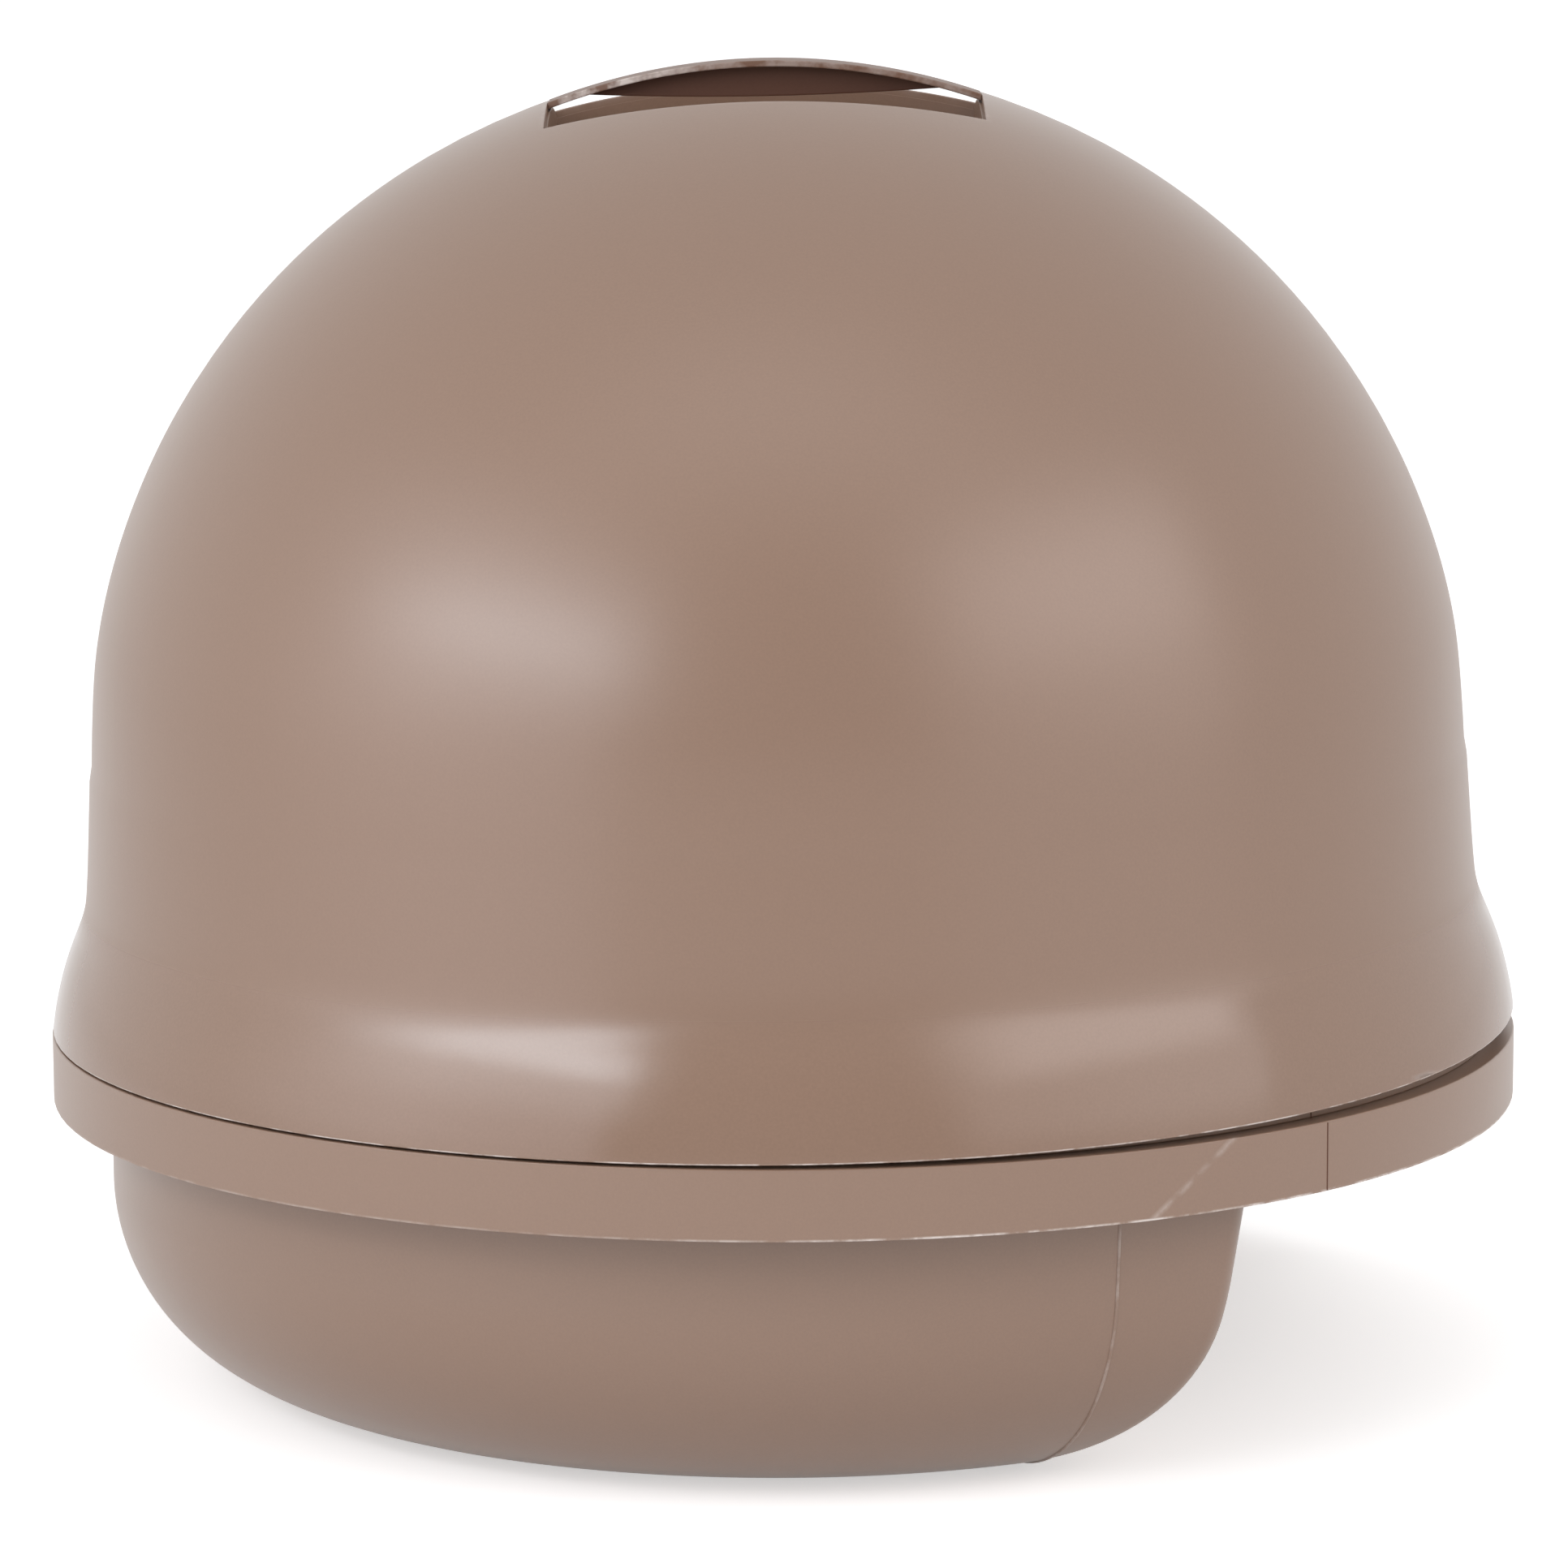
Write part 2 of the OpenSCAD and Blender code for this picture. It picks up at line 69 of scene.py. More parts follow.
# Hood, upright; it is then turned by TILT about the point where its edge sits on the rim
EDGE_R, EDGE_Z = RIM_R - 0.0005, RIM_Z + 0.0003
DOME_R, DOME_Z = RIM_R - 0.0169, EDGE_Z + 0.0972
WALL_TOP_Z, DRAFT = EDGE_Z + 0.1344, math.radians(3)
FLARE_H, FLARE_R = 0.043, 0.111
TILT = math.radians(0.9)
DOOR_AZ, DOOR_R, DOOR_H = math.radians(240), 0.119, 0.245
SPRING_Z = EDGE_Z + DOOR_H - DOOR_R
HAND_X, HAND_Y, HAND_BOW_R = 0.0815, 0.074, 0.218
# How far the hood's edge droops at DROOP_AZ, on the side that stands off the rim. The droop fades
# out over DROOP_H up the hood, and over DROOP_SPAN either way round it
DROOP, DROOP_H = 0.0039, 0.05
DROOP_AZ, DROOP_SPAN = math.radians(115), math.radians(100)
EDGE_ROUND = 0.0007
# How worn the hood's edges are, from 0 to 1: its lower edge outside and inside, and the hand opening
OUTER_WEAR, INNER_WEAR, HAND_WEAR = 1.0, 0.5, 0.1
# How softly the hood turns above its flare and where its wall meets its dome
FLARE_CREASE, DOME_CREASE = 0.0035, 0.002
# Half the height of the bands of close rows about those two creases
FLARE_BAND, DOME_BAND = 0.01, 0.012
# Rows follow the hand opening's outline for CROWN_W, and are round from RING_R outwards
CROWN_W, RING_R = 0.008, 0.128
# How far above the flare its gloss starts, and the height over which it comes in
POLISH_RISE, POLISH_FADE = 0.003, 0.009

# Camera, set to the photograph's viewing angle
CAMERA_PLACE = Vector((-0.0007, 2.4497, 0.6118))
CAMERA_PITCH, CAMERA_ROLL = math.radians(9.04), math.radians(-0.247)
CAMERA_LENS, SENSOR = 148.53, 36.0

# Moulding lines: two down the pan, either side of its flat side, and one across the skirt and lip
SEAM_TURN, SEAM_DRIFT = math.radians(84.5), math.radians(1.2)
# A seam stops at this lean of the bend, short of the floor
SEAM_END = math.radians(82)
SEAM_W, SEAM_H, SEAM_WEAR = 0.0013, 0.0006, 0.25
PARTING_AZ, LIP_R, LIP_H = math.radians(133.6), RIM_R - 0.008, 0.012
LINE_W, LINE_H = 0.0006, 0.0002
# How far a parting line stays from the upper and lower edges of its wall
LINE_TOP_GAP, LINE_FOOT_GAP = 0.0006, 0.0004
# Share of a bead's height by which its foot is sunk into the wall
BEAD_SUNK = 0.25

# Scuff across the skirt: it starts at the lower edge, SCUFF_X from the middle towards -X, and
# goes SCUFF_SLOPE further that way for each metre up
SCUFF_X, SCUFF_SLOPE, SCUFF_HALF_W, SCUFF_SHARE = 0.128, 1.17, 0.0025, 0.3

# Rounding of the edges of the CAD nodes that show
SOFT_EDGE, SOFT_ANGLE, WELD_GAP = 0.0005, math.radians(35), 2e-6


# ---- Mesh building -------------------------------------------------------------------------

class Skin:
    """One piece's mesh, gathered as grids of corners: (point, normal, wear)."""

    def __init__(self):
        self.points, self.wear, self.faces, self.normals, self.index = [], [], [], [], {}

    def vertex(self, point, wear):
        """Index of the mesh point there, new or shared."""
        key = tuple(round(c * 1e6) for c in point)
        if key not in self.index:
            self.index[key] = len(self.points)
            self.points.append(point)
            self.wear.append(wear)
        return self.index[key]

    def face(self, corners):
        """One face, without corners that fall together; none if fewer than three are left."""
        ids = [self.vertex(point, wear) for point, _, wear in corners]
        kept = [i for i in range(len(ids)) if ids[i] != ids[i - 1]]
        if len({ids[i] for i in kept}) > 2:
            self.faces.append([ids[i] for i in kept])
            self.normals.extend(corners[i][1] for i in kept)

    def grid(self, rows, closed=False):
        """Faces between neighbouring rows; closed joins each row's end to its start."""
        for upper, lower in zip(rows, rows[1:]):
            count = len(upper)
            for i in range(count if closed else count - 1):
                j = (i + 1) % count
                self.face([upper[i], lower[i], lower[j], upper[j]])

    def piece(self, name, material, place=Matrix.Identity(4), polish=None):
        """The mesh as an object, moved by place.

        polish is a function of a point: 1 where the mould was polished, 0 where it was not.
        """
        mesh = bpy.data.meshes.new(name)
        mesh.from_pydata(self.points, [], self.faces)
        marks = {"wear": self.wear, "polish": [polish(p) if polish else 0.0 for p in self.points]}
        for mark, values in marks.items():
            mesh.attributes.new(mark, "FLOAT", "POINT").data.foreach_set("value", values)
        mesh.polygons.foreach_set("use_smooth", [True] * len(mesh.polygons))
        mesh.normals_split_custom_set([n.normalized() for n in self.normals])
        mesh.transform(place)
        mesh.materials.append(material)
        obj = bpy.data.objects.new(name, mesh)
        bpy.context.scene.collection.objects.link(obj)
        return obj


def spread(low, high, count):
    """count + 1 values from low to high."""
    return [low + (high - low) * i / count for i in range(count + 1)]


def polar(angle, radius=1.0):
    """Level vector at this angle from +X."""
    return Vector((radius * math.cos(angle), radius * math.sin(angle), 0))


# ---- Hood ----------------------------------------------------------------------------------

def smooth_max(a, b, width):
    """The larger of a and b, rounded off where they differ by less than about width."""
    return (a + b + math.sqrt((a - b) ** 2 + width ** 2)) / 2


def wall_r(z, out):
    """Radius at height z of the hood's drafted wall, which starts on the dome at WALL_TOP_Z."""
    top = math.sqrt((DOME_R + out) ** 2 - (WALL_TOP_Z - DOME_Z) ** 2)
    return top + (WALL_TOP_Z - z) * math.tan(DRAFT)


def flare_centre():
    """Centre (radius, height) of the flare's arc, from the hood's edge to the wall above it."""
    foot = Vector((EDGE_R, EDGE_Z))
    head = Vector((wall_r(EDGE_Z + FLARE_H, 0), EDGE_Z + FLARE_H))
    run = head - foot
    out = Vector((run.y, -run.x)).normalized()
    return (foot + head) / 2 - out * math.sqrt(FLARE_R ** 2 - (run.length / 2) ** 2)


FLARE_C = flare_centre()


def hood_r(z, out=0.0):
    """Radius of the hood's surface at height z, grown by out, with its two creases softened."""
    radius = wall_r(z, out)
    reach = (FLARE_R + out) ** 2 - (z - FLARE_C.y) ** 2
    if z < DOME_Z and reach > 0:
        radius = smooth_max(radius, FLARE_C.x + math.sqrt(reach), FLARE_CREASE)
    height = z - DOME_Z
    if height > 0:
        sphere = math.sqrt(max((DOME_R + out) ** 2 - height ** 2, 0))
        radius = -smooth_max(-radius, -sphere, DOME_CREASE)
    return radius


def hood_normal(z, azimuth, out=0.0, step=1e-5):
    """Outward direction there, from the slope over one small step up and down."""
    slope = (hood_r(z + step, out) - hood_r(z - step, out)) / (2 * step)
    return (polar(azimuth) + Vector((0, 0, -slope))).normalized()


def dome_corner(x, y, out=0.0, wear=0.0):
    """Corner of a grid on the dome, above (x, y)."""
    z = math.sqrt((DOME_R + out) ** 2 - x * x - y * y)
    point = Vector((x, y, DOME_Z + z))
    return point, Vector((x, y, z)).normalized(), wear


def hand_outline(out, side_steps=40, end_steps=24):
    """Points and outward directions round the hand opening grown by out, from its +X end."""
    marks = []
    for turn in (1, -1):
        x_end = HAND_X + out
        y_end = HAND_Y - HAND_BOW_R + math.sqrt((HAND_BOW_R + out) ** 2 - x_end ** 2)
        for y in spread(-y_end, y_end, end_steps):
            marks.append((Vector((x_end, y, 0)) * turn, Vector((turn, 0, 0))))
        for x in spread(x_end, -x_end, side_steps):
            y = HAND_Y - HAND_BOW_R + math.sqrt((HAND_BOW_R + out) ** 2 - x * x)
            away = Vector((x, y - HAND_Y + HAND_BOW_R, 0)).normalized()
            marks.append((Vector((x, y, 0)) * turn, away * turn))
    return marks


def turned(marks, start):
    """The closed ring of marks, from start round to start again."""
    return marks[start:] + marks[:start + 1]


def hood_rows(azimuths, start, out):
    """Rows of one surface of the hood, from the hand opening down to above its edge."""
    rows = []
    crown = spread(EDGE_ROUND if out == 0 else 0, CROWN_W, 4)
    for grown in crown:
        rows.append([dome_corner(p.x, p.y, out) for p, _ in turned(hand_outline(grown), start)])
    outline = [p for p, _ in turned(hand_outline(crown[-1]), start)]
    apex_z = SPRING_Z + DOOR_R
    apex_r = math.sqrt((DOME_R + out) ** 2 - (apex_z - DOME_Z) ** 2)
    # Two rows between the outline and the first round row, a third and two thirds of the way
    for share in (0.34, 0.67):
        row = []
        for p, azimuth in zip(outline, azimuths):
            q = p.lerp(polar(azimuth, RING_R), share)
            row.append(dome_corner(q.x, q.y, out))
        rows.append(row)
    for radius in spread(RING_R, apex_r, 14)[:-1]:
        rows.append([dome_corner(*polar(azimuth, radius).xy, out) for azimuth in azimuths])
    heights = [SPRING_Z + DOOR_R * math.cos(a) for a in spread(0, math.pi / 2, 40)]
    heights += [WALL_TOP_Z + d for d in spread(DOME_BAND, -DOME_BAND, 12)]
    flare_top = EDGE_Z + FLARE_H
    heights += spread(SPRING_Z, flare_top + FLARE_BAND, 12)
    heights += spread(flare_top + FLARE_BAND, flare_top - FLARE_BAND, 20)
    heights += spread(flare_top - FLARE_BAND, EDGE_Z + EDGE_ROUND, 16)
    for z in sorted(set(round(h, 7) for h in heights), reverse=True):
        rows.append(level_row(azimuths, z, hood_r(z, out), out))
    return rows


def door_half_angle(z, radius):
    """Half the turn that the doorway takes out of a ring of this radius at height z."""
    above = z - SPRING_Z
    half = DOOR_R if above < 0 else math.sqrt(max(DOOR_R ** 2 - above ** 2, 0))
    return math.asin(half / radius)


def droop(z, azimuth):
    """How far the hood hangs below its moulded shape, near its edge and away from the doorway."""
    low = max(0.0, 1 - (z - EDGE_Z) / DROOP_H)
    turn = min(1.0, abs(azimuth % (2 * math.pi) - DROOP_AZ) / DROOP_SPAN)
    return DROOP * low ** 2 * (1 + math.cos(math.pi * turn)) / 2


def level_row(azimuths, z, radius, out, normal=None, wear=0.0):
    """Ring at height z, squeezed so that its ends lie on the doorway's edges."""
    cut = door_half_angle(z, radius)
    row = []
    for azimuth in azimuths:
        share = (azimuth - DOOR_AZ) / (2 * math.pi)
        turn = DOOR_AZ + cut + share * (2 * math.pi - 2 * cut)
        facing = normal(turn) if normal else hood_normal(z, turn, out)
        row.append((polar(turn, radius) + Vector((0, 0, z - droop(z, turn))), facing, wear))
    return row


def hood_edge_rows(azimuths):
    """Rows round the hood's lower edge, from the outer surface to the inner one."""
    rows = []
    low_r = hood_r(EDGE_Z + EDGE_ROUND)
    for a in spread(0, math.pi / 2, 4):
        radius = low_r - EDGE_ROUND * (1 - math.cos(a))
        z = EDGE_Z + EDGE_ROUND * (1 - math.sin(a))
        rows.append(level_row(azimuths, z, radius, 0, lambda turn, a=a: (
            polar(turn, math.cos(a)) - Vector((0, 0, math.sin(a)))), OUTER_WEAR))
    inner_r = hood_r(EDGE_Z + EDGE_ROUND, -WALL)
    for a in spread(math.pi / 2, 0, 4):
        radius = inner_r + EDGE_ROUND * (1 - math.cos(a))
        z = EDGE_Z + EDGE_ROUND * (1 - math.sin(a))
        rows.append(level_row(azimuths, z, radius, 0, lambda turn, a=a: (
            -polar(turn, math.cos(a)) - Vector((0, 0, math.sin(a)))), INNER_WEAR))
    return rows


def hand_edge_rows(start):
    """Rows from the hood's inner surface up the hand opening's face and over its edge."""
    rows = []
    face = turned(hand_outline(0), start)
    lower = [dome_corner(p.x, p.y, -WALL) for p, _ in face]
    rows.append([(point, -away, 0.0) for (point, _, _), (_, away) in zip(lower, face)])
    for a in spread(0, math.pi / 2, 4):
        row = []
        for p, away in turned(hand_outline(EDGE_ROUND * (1 - math.cos(a))), start):
            point, up, _ = dome_corner(p.x, p.y)
            drop = EDGE_ROUND * (1 - math.sin(a))
            facing = (-away * math.cos(a) + up * math.sin(a)).normalized()
            row.append((point - Vector((0, 0, drop)), facing, HAND_WEAR))
        rows.append(row)
    return rows


def flipped(rows):
    """The same surface seen from its other side."""
    return [[(point, -normal, wear) for point, normal, wear in row] for row in reversed(rows)]


def hood(material):
    """The hood's whole skin.

    Every row has one corner for each corner of the hand opening's outline, and starts and ends in
    the doorway's direction.
    """
    outline = [p for p, _ in hand_outline(0)]
    bearing = [math.atan2(p.y, p.x) % (2 * math.pi) for p in outline]
    start = min(range(len(bearing)), key=lambda i: abs(bearing[i] - DOOR_AZ))
    azimuths = [DOOR_AZ + (b - bearing[start]) % (2 * math.pi) for b in bearing]
    azimuths = azimuths[start:] + azimuths[:start] + [DOOR_AZ + 2 * math.pi]
    outer = hood_rows(azimuths, start, 0.0)
    inner = hood_rows(azimuths, start, -WALL)
    skin = Skin()
    skin.grid(hand_edge_rows(start) + outer + hood_edge_rows(azimuths) + flipped(inner))
    return skin.piece("hood", material, SEATING, flare_polish)


def flare_polish(point):
    """The flare is moulded glossier than the wall above it."""
    return min(1.0, max(0.0, (EDGE_Z + FLARE_H + POLISH_RISE - point.z) / POLISH_FADE))


SEATING = (
    Matrix.Translation((EDGE_R, 0, EDGE_Z)) @ Matrix.Rotation(TILT, 4, "Y")
    @ Matrix.Translation((-EDGE_R, 0, -EDGE_Z))
)


# ---- Pan -----------------------------------------------------------------------------------

def flat_x(z, inset):
    """Distance from the middle to the flat side at height z, inside a skin of inset."""
    return CUT_BEND_D + (BEND_R - inset + (z - BEND_R) * math.sin(CUT_LEAN)) / math.cos(CUT_LEAN)


def bowl_row(z, radius, flat, corner, lean, facing, arc_steps=180, nose_steps=12, flat_steps=12):
    """Ring of the bowl at height z.

    flat is how far its flat side is from the middle, and corner the radius of the two corners
    beside it. lean is the angle by which the round side faces down. facing is 1 for the outer
    surface and -1 for the inner one.
    """
    half = math.acos((flat - corner) / (radius - corner))
    nose = polar(half, radius - corner)
    far_nose = Vector((nose.x, -nose.y, 0))
    flat_lean = max(lean, CUT_LEAN)
    marks = [(polar(a, radius), a, lean) for a in spread(half, 2 * math.pi - half, arc_steps)]
    for share in spread(1, 0, nose_steps)[1:]:
        tilt = flat_lean + (lean - flat_lean) * share
        marks.append((far_nose + polar(-half * share, corner), -half * share, tilt))
    marks += [(Vector((flat, y, 0)), 0, flat_lean) for y in spread(-nose.y, nose.y, flat_steps)[1:]]
    for share in spread(0, 1, nose_steps)[1:-1]:
        tilt = flat_lean + (lean - flat_lean) * share
        marks.append((nose + polar(half * share, corner), half * share, tilt))
    lift = Vector((0, 0, z))
    return [
        (p + lift, (polar(a, math.cos(tilt)) - Vector((0, 0, math.sin(tilt)))) * facing, 0.0)
        for p, a, tilt in marks
    ]


def bowl_rows(thick, facing):
    """Rows of one surface of the bowl, from its top down to its floor."""
    bend = BEND_R - thick
    rows = [
        bowl_row(z, BOWL_R - thick, flat_x(z, thick), NOSE_R - thick, 0, facing)
        for z in spread(PAN_TOP, BEND_R, 6)
    ]
    for lean in spread(0, math.pi / 2, 30)[1:]:
        z = BEND_R - bend * math.sin(lean)
        flat = flat_x(z, thick) if lean < CUT_LEAN else CUT_BEND_D + bend * math.cos(lean)
        radius = BOWL_R - BEND_R + bend * math.cos(lean)
        rows.append(bowl_row(z, radius, flat, NOSE_R - thick, lean, facing))
    return rows


def pan(material):
    """The pan's whole skin: outer and inner surfaces, the top between them, and both floors."""
    outer, inner = bowl_rows(0.0, 1), bowl_rows(WALL, -1)
    skin = Skin()
    skin.grid(outer, closed=True)
    skin.grid(list(reversed(inner)), closed=True)
    up, down = Vector((0, 0, 1)), Vector((0, 0, -1))
    skin.grid([[(p, up, 0.0) for p, _, _ in row] for row in (inner[0], outer[0])], closed=True)
    skin.face([(p, down, 0.0) for p, _, _ in reversed(outer[-1])])
    skin.face([(p, up, 0.0) for p, _, _ in inner[-1]])
    return skin.piece("pan", material, Matrix.Rotation(CUT_AZ, 4, "Z"))


# ---- Moulding lines ------------------------------------------------------------------------

def bead(name, path, width, height, material, wear=0.0):
    """Low half-round ridge of this width and height along a path of (point, outward normal)."""
    skin = Skin()
    rows = []
    for i, (point, out) in enumerate(path):
        along = path[min(i + 1, len(path) - 1)][0] - path[max(i - 1, 0)][0]
        side = out.cross(along).normalized()
        row = []
        for a in spread(math.pi, 0, 6):
            facing = side * math.cos(a) + out * math.sin(a)
            rise = height * ((1 + BEAD_SUNK) * math.sin(a) - BEAD_SUNK)
            offset = side * (width / 2 * math.cos(a)) + out * rise
            row.append((point + offset, facing, wear))
        rows.append(row)
    skin.grid(rows)
    return skin.piece(name, material)


def bowl_meridian(azimuth, drift):
    """Path down the round side of the bowl, turned by drift on its way to the floor."""
    path = [(BOWL_R, z, 0.0) for z in spread(PAN_TOP, BEND_R, 6)[:-1]]
    for lean in spread(0, SEAM_END, 24):
        path.append((BOWL_R - BEND_R * (1 - math.cos(lean)), BEND_R * (1 - math.sin(lean)), lean))
    marks = []
    for radius, z, lean in path:
        a = azimuth + drift * (1 - z / PAN_TOP)
        out = polar(a, math.cos(lean)) - Vector((0, 0, math.sin(lean)))
        marks.append((polar(a, radius) + Vector((0, 0, z)), out))
    return marks


def upright(azimuth, radius, z_high, z_low, steps=6):
    """Path straight down a round wall."""
    return [
        (polar(azimuth, radius) + Vector((0, 0, z)), polar(azimuth))
        for z in spread(z_high, z_low, steps)
    ]


# ---- Materials -----------------------------------------------------------------------------

class Shader:
    """A node material, with one short call for each node."""

    def __init__(self, name):
        self.material = bpy.data.materials.new(name)
        self.material.use_nodes = True
        self.tree = self.material.node_tree
        self.surface = self.tree.nodes["Principled BSDF"]
        self.place = self.add("ShaderNodeTexCoord").outputs["Object"]

    def add(self, kind, inputs=None, **settings):
        """A new node; inputs are values or other nodes' outputs, by socket name or number."""
        node = self.tree.nodes.new(kind)
        for name, value in settings.items():
            setattr(node, name, value)
        for name, value in (inputs or {}).items():
            self.put(node.inputs[name], value)
        return node

    def put(self, socket, value):
        if isinstance(value, bpy.types.NodeSocket):
            self.tree.links.new(value, socket)
        else:
            socket.default_value = value

    def noise(self, scale, detail, rough=0.5):
        """Noise with scale features to the metre and detail octaves above them."""
        return self.add("ShaderNodeTexNoise", {
            "Vector": self.place, "Scale": scale, "Detail": detail, "Roughness": rough,
        }).outputs["Fac"]

    def mark(self, name):
        """A value kept on the mesh's points; 0 on a mesh without it."""
        return self.add("ShaderNodeAttribute", attribute_name=name).outputs["Fac"]

    def ramp(self, value, low, high, to_low=0.0, to_high=1.0):
        """to_low where value is low, to_high where it is high, and level beyond both."""
        return self.add("ShaderNodeMapRange", {
            "Value": value, "From Min": low, "From Max": high, "To Min": to_low, "To Max": to_high,
        }).outputs["Result"]

    def math(self, operation, a, b=0.0):
        return self.add("ShaderNodeMath", {0: a, 1: b}, operation=operation).outputs[0]

    def mix(self, share, a, b):
        """Colour a, with a share of colour b; sockets 6, 7 and 2 are the node's colour ones."""
        node = self.add("ShaderNodeMix", data_type="RGBA")
        self.put(node.inputs["Factor"], share)
        self.put(node.inputs[6], a)
        self.put(node.inputs[7], b)
        return node.outputs[2]

    def bump(self, height, strength, distance, normal=None):
        node = self.add("ShaderNodeBump", {
            "Height": height, "Strength": strength, "Distance": distance,
        })
        if normal is not None:
            self.put(node.inputs["Normal"], normal)
        return node.outputs["Normal"]


def srgb(red, green, blue):
    """Linear colour of an 8-bit screen colour."""
    def linear(value):
        c = value / 255
        return c / 12.92 if c <= 0.04045 else ((c + 0.055) / 1.055) ** 2.4
    return linear(red), linear(green), linear(blue), 1.0


# Noise in the plastic and the pad, as (features to the metre, octaves, how strong the fine ones)
FLOW, SPECKLE, SMEAR = (3.0, 2.0), (1100.0, 0.0), (6.0, 1.0)
PEEL, GRAIN, WORN_SPOTS = (90.0, 1.0), (900.0, 0.0), (70.0, 4.0, 0.65)
FIBRES, FLOOR_GRAIN = (900.0, 4.0, 0.7), (40.0, 2.0)

WORN_PLASTIC = srgb(232, 222, 216)
CARBON_DARK, CARBON_PALE = srgb(22, 22, 24), srgb(64, 64, 68)
FLOOR_GREY = (0.86, 0.86, 0.86, 1)
# What the floor adds to its own light in the camera and in reflections, to look white there
FLOOR_SEEN, FLOOR_REFLECTED = 0.52, 0.35


def pearl_plastic(name, tint, roughness=0.277, polished=0.12, specular=0.8, flash=None):
    """Moulded plastic with pearl pigment: flow marks, fine speckle, orange peel, pale worn edges.

    roughness is the lowest where the mould was plain, and polished the lowest where it was
    polished. flash is a function of the shader that gives 1 on a worn edge; by default the mesh
    says how worn it is.
    """
    shader = Shader(name)
    surface = shader.surface
    paler = tuple(min(1.0, c * 1.1) for c in tint[:3]) + (1.0,)
    darker = tuple(c * 0.94 for c in tint[:3]) + (1.0,)
    # Colour: wide flow marks, fine pearl speckle, and pale patches on worn edges
    flow = shader.ramp(shader.noise(*FLOW), 0.1, 0.9)
    colour = shader.mix(flow, darker, tint)
    speckle = shader.ramp(shader.noise(*SPECKLE), 0.2, 0.9)
    colour = shader.mix(shader.math("MULTIPLY", speckle, 0.5), colour, paler)
    worn = flash(shader) if flash else shader.mark("wear")
    patches = shader.ramp(shader.noise(*WORN_SPOTS), 0.42, 0.6, 0.05, 0.85)
    colour = shader.mix(shader.math("MULTIPLY", worn, patches), colour, WORN_PLASTIC)
    shader.put(surface.inputs["Base Color"], colour)
    # Gloss: by how the mould was finished, a little duller in smears
    smear = shader.ramp(shader.noise(*SMEAR), 0.2, 0.8, 0.0, 0.03)
    gloss = shader.ramp(shader.mark("polish"), 0.0, 1.0, roughness, polished)
    shader.put(surface.inputs["Roughness"], shader.math("ADD", gloss, smear))
    shader.put(surface.inputs["Specular IOR Level"], specular)
    # Surface: shallow orange peel with a finer grain on it
    peel = shader.bump(shader.noise(*PEEL), 0.05, 0.0006)
    grain = shader.bump(shader.noise(*GRAIN), 0.06, 0.00008, peel)
    shader.put(surface.inputs["Normal"], grain)
    return shader.material


def skirt_flash(shader):
    """Worn flash along the skirt's lower edge, strongest towards -X, and the slanting scuff."""
    split = shader.add("ShaderNodeSeparateXYZ", {"Vector": shader.place})
    height = split.outputs["Z"]
    low = shader.ramp(height, SKIRT_Z + 0.0005, SKIRT_Z + 0.0011, 1.0, 0.0)
    along = shader.ramp(split.outputs["X"], 0.06, -0.05, 0.25, 1.0)
    edge = shader.math("MULTIPLY", low, along)
    slant = shader.math("MULTIPLY_ADD", height, SCUFF_SLOPE)
    slant.node.inputs[2].default_value = SCUFF_X - SCUFF_SLOPE * SKIRT_Z
    across = shader.math("ABSOLUTE", shader.math("ADD", split.outputs["X"], slant))
    scuff = shader.ramp(across, 0.0, SCUFF_HALF_W, SCUFF_SHARE, 0.0)
    near_side = shader.ramp(split.outputs["Y"], 0.2, 0.215, 0.0, 1.0)
    return shader.math("MAXIMUM", edge, shader.math("MULTIPLY", scuff, near_side))


def grip_flash(shader):
    """Worn flash in dashes along the handle's near edge, strongest towards +X."""
    split = shader.add("ShaderNodeSeparateXYZ", {"Vector": shader.place})
    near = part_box("handle_strip")[1].y
    edge = shader.ramp(split.outputs["Y"], near - 0.0008, near - 0.0002, 0.0, 1.0)
    along = shader.ramp(split.outputs["X"], 0.02, 0.06, 0.3, 1.0)
    return shader.math("MULTIPLY", edge, along)


def carbon_fleece(name):
    """Matt pad of dark fibres."""
    shader = Shader(name)
    surface = shader.surface
    fibres = shader.noise(*FIBRES)
    colour = shader.mix(shader.ramp(fibres, 0.35, 0.7), CARBON_DARK, CARBON_PALE)
    shader.put(surface.inputs["Base Color"], colour)
    shader.put(surface.inputs["Roughness"], 0.95)
    shader.put(surface.inputs["Sheen Weight"], 0.3)
    shader.put(surface.inputs["Normal"], shader.bump(fibres, 0.8, 0.0008))
    return shader.material


def floor_material():
    """Pale floor that the camera sees as white where no shadow falls."""
    shader = Shader("floor_white")
    shader.put(shader.surface.inputs["Base Color"], FLOOR_GREY)
    shader.put(shader.surface.inputs["Roughness"], 0.9)
    shader.put(shader.surface.inputs["Specular IOR Level"], 0.0)
    grain = shader.noise(*FLOOR_GRAIN)
    shader.put(shader.surface.inputs["Normal"], shader.bump(grain, 0.02, 0.0005))
    path = shader.add("ShaderNodeLightPath")
    to_eye = shader.math("MULTIPLY", path.outputs["Is Camera Ray"], FLOOR_SEEN)
    to_gloss = shader.math("MULTIPLY", path.outputs["Is Glossy Ray"], FLOOR_REFLECTED)
    glow = shader.add("ShaderNodeEmission", {
        "Color": (1, 1, 1, 1), "Strength": shader.math("MAXIMUM", to_eye, to_gloss),
    })
    both = shader.add("ShaderNodeAddShader", {
        0: shader.surface.outputs[0], 1: glow.outputs[0],
    })
    output = shader.tree.nodes["Material Output"]
    shader.put(output.inputs["Surface"], both.outputs[0])
    return shader.material


# ---- Stage ---------------------------------------------------------------------------------

